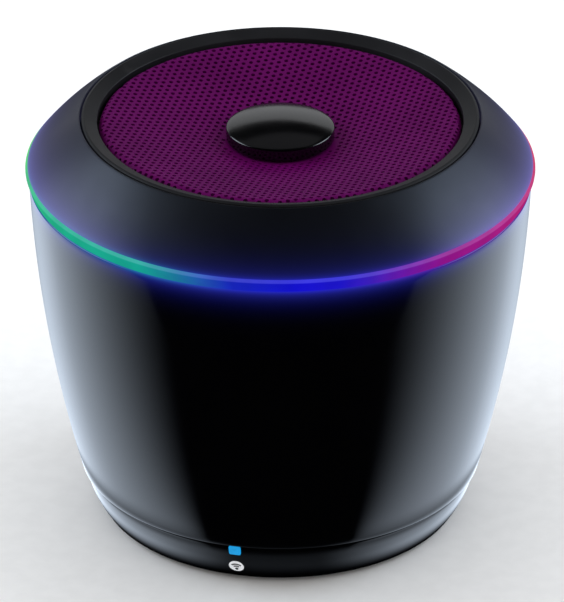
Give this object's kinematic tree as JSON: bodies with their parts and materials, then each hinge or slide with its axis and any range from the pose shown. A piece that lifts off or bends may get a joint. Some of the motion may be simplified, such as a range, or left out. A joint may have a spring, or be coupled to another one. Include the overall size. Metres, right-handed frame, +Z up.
{
  "type": "portable bluetooth speaker",
  "caption": "Tapered round portable speaker with a light ring, a dished perforated grille with a domed centre cap, and a recessed rear control panel.",
  "frame": {"origin": "centre of the foot ring's underside, on the surface the speaker stands on", "axes": "+Z up along the case's axis; -Y is the front, with the status light; +Y is the back, with the control panel; +X is to the right of someone facing the front"},
  "size_m": [0.1, 0.1, 0.085],
  "materials": {
    "gloss_case": "high gloss black",
    "satin_collar": "satin black",
    "matte_bezel": "matte black",
    "purple_grille": "satin purple powder coat",
    "light_ring": "frosted translucent, lit in colours",
    "status_light": "clear light pipe",
    "inner_plastic": "plain moulded",
    "foot_rubber": "matte",
    "steel": "zinc plated",
    "black_steel": "black coated pressed steel",
    "ferrite": "sintered ferrite",
    "cone_paper": "black paper pulp",
    "coil_copper": "enamelled copper wire",
    "spider_cloth": "phenolic cloth",
    "foam": "closed-cell foam",
    "board_green": "solder mask",
    "switch_black": "moulded",
    "led_package": "white LED package",
    "battery_wrap": "shrink-wrapped cell",
    "wire_red": "PVC insulation",
    "led_flex": "white flexible circuit"
  },
  "bodies": {
    "speaker": {"aux_jack": "switch_black", "base_cover": "gloss_case", "battery_cell": "battery_wrap", "battery_cradle": "inner_plastic", "battery_lead": "wire_red", "bezel_ring": "matte_bezel", "bluetooth_module": "steel", "body_shell": "gloss_case", "cap_retaining_clip": "steel", "case_screw_1": "steel", "case_screw_2": "steel", "case_screw_3": "steel", "case_screw_4": "steel", "center_cap": "gloss_case", "driver_baffle": "inner_plastic", "driver_basket": "black_steel", "driver_gasket": "foam", "driver_magnet": "ferrite", "driver_screw_1": "steel", "driver_screw_2": "steel", "driver_screw_3": "steel", "driver_screw_4": "steel", "driver_spider": "spider_cloth", "driver_surround": "foot_rubber", "driver_terminals": "spider_cloth", "driver_top_plate": "steel", "driver_yoke": "steel", "foot_ring": "foot_rubber", "grille": "purple_grille", "key_board": "board_green", "key_cable": "led_flex", "led_cable": "led_flex", "led_strip": "led_flex", "light_led_1": "led_package", "light_led_2": "led_package", "light_led_3": "led_package", "light_led_4": "led_package", "light_led_5": "led_package", "light_led_6": "led_package", "light_ring": "light_ring", "light_switch": "switch_black", "main_board": "board_green", "play_switch": "switch_black", "rear_panel": "matte_bezel", "slide_switch_body": "steel", "speaker_lead": "wire_red", "status_light_pipe": "status_light", "top_collar": "satin_collar", "usb_port": "steel", "volume_down_switch": "switch_black", "volume_up_switch": "switch_black"},
    "volume_down_key": {"volume_down_button": "matte_bezel"},
    "play_key": {"play_button": "matte_bezel"},
    "volume_up_key": {"volume_up_button": "matte_bezel"},
    "light_key": {"light_button": "matte_bezel"},
    "power_slider": {"power_switch_knob": "matte_bezel"},
    "diaphragm": {"driver_cone": "cone_paper", "dust_cap": "cone_paper", "voice_coil_former": "spider_cloth", "voice_coil_winding": "coil_copper"}
  },
  "joints": [
    {"name": "volume_down_press", "type": "slide", "parent": "speaker", "child": "volume_down_key", "axis": [0, -1, 0], "range_m": [0, 0.0003], "stiffness_N_per_m": 400},
    {"name": "play_press", "type": "slide", "parent": "speaker", "child": "play_key", "axis": [0, -1, 0], "range_m": [0, 0.0003], "stiffness_N_per_m": 400},
    {"name": "volume_up_press", "type": "slide", "parent": "speaker", "child": "volume_up_key", "axis": [0, -1, 0], "range_m": [0, 0.0003], "stiffness_N_per_m": 400},
    {"name": "light_press", "type": "slide", "parent": "speaker", "child": "light_key", "axis": [0, -1, 0], "range_m": [0, 0.0003], "stiffness_N_per_m": 400},
    {"name": "power_switch_slide", "type": "slide", "parent": "speaker", "child": "power_slider", "axis": [-1, 0, 0], "range_m": [0, 0.003]},
    {"name": "cone_travel", "type": "slide", "parent": "speaker", "child": "diaphragm", "axis": [0, 0, 1], "range_m": [-0.002, 0.002], "stiffness_N_per_m": 1500, "deforming": ["driver_surround", "driver_spider"]}
  ]
}
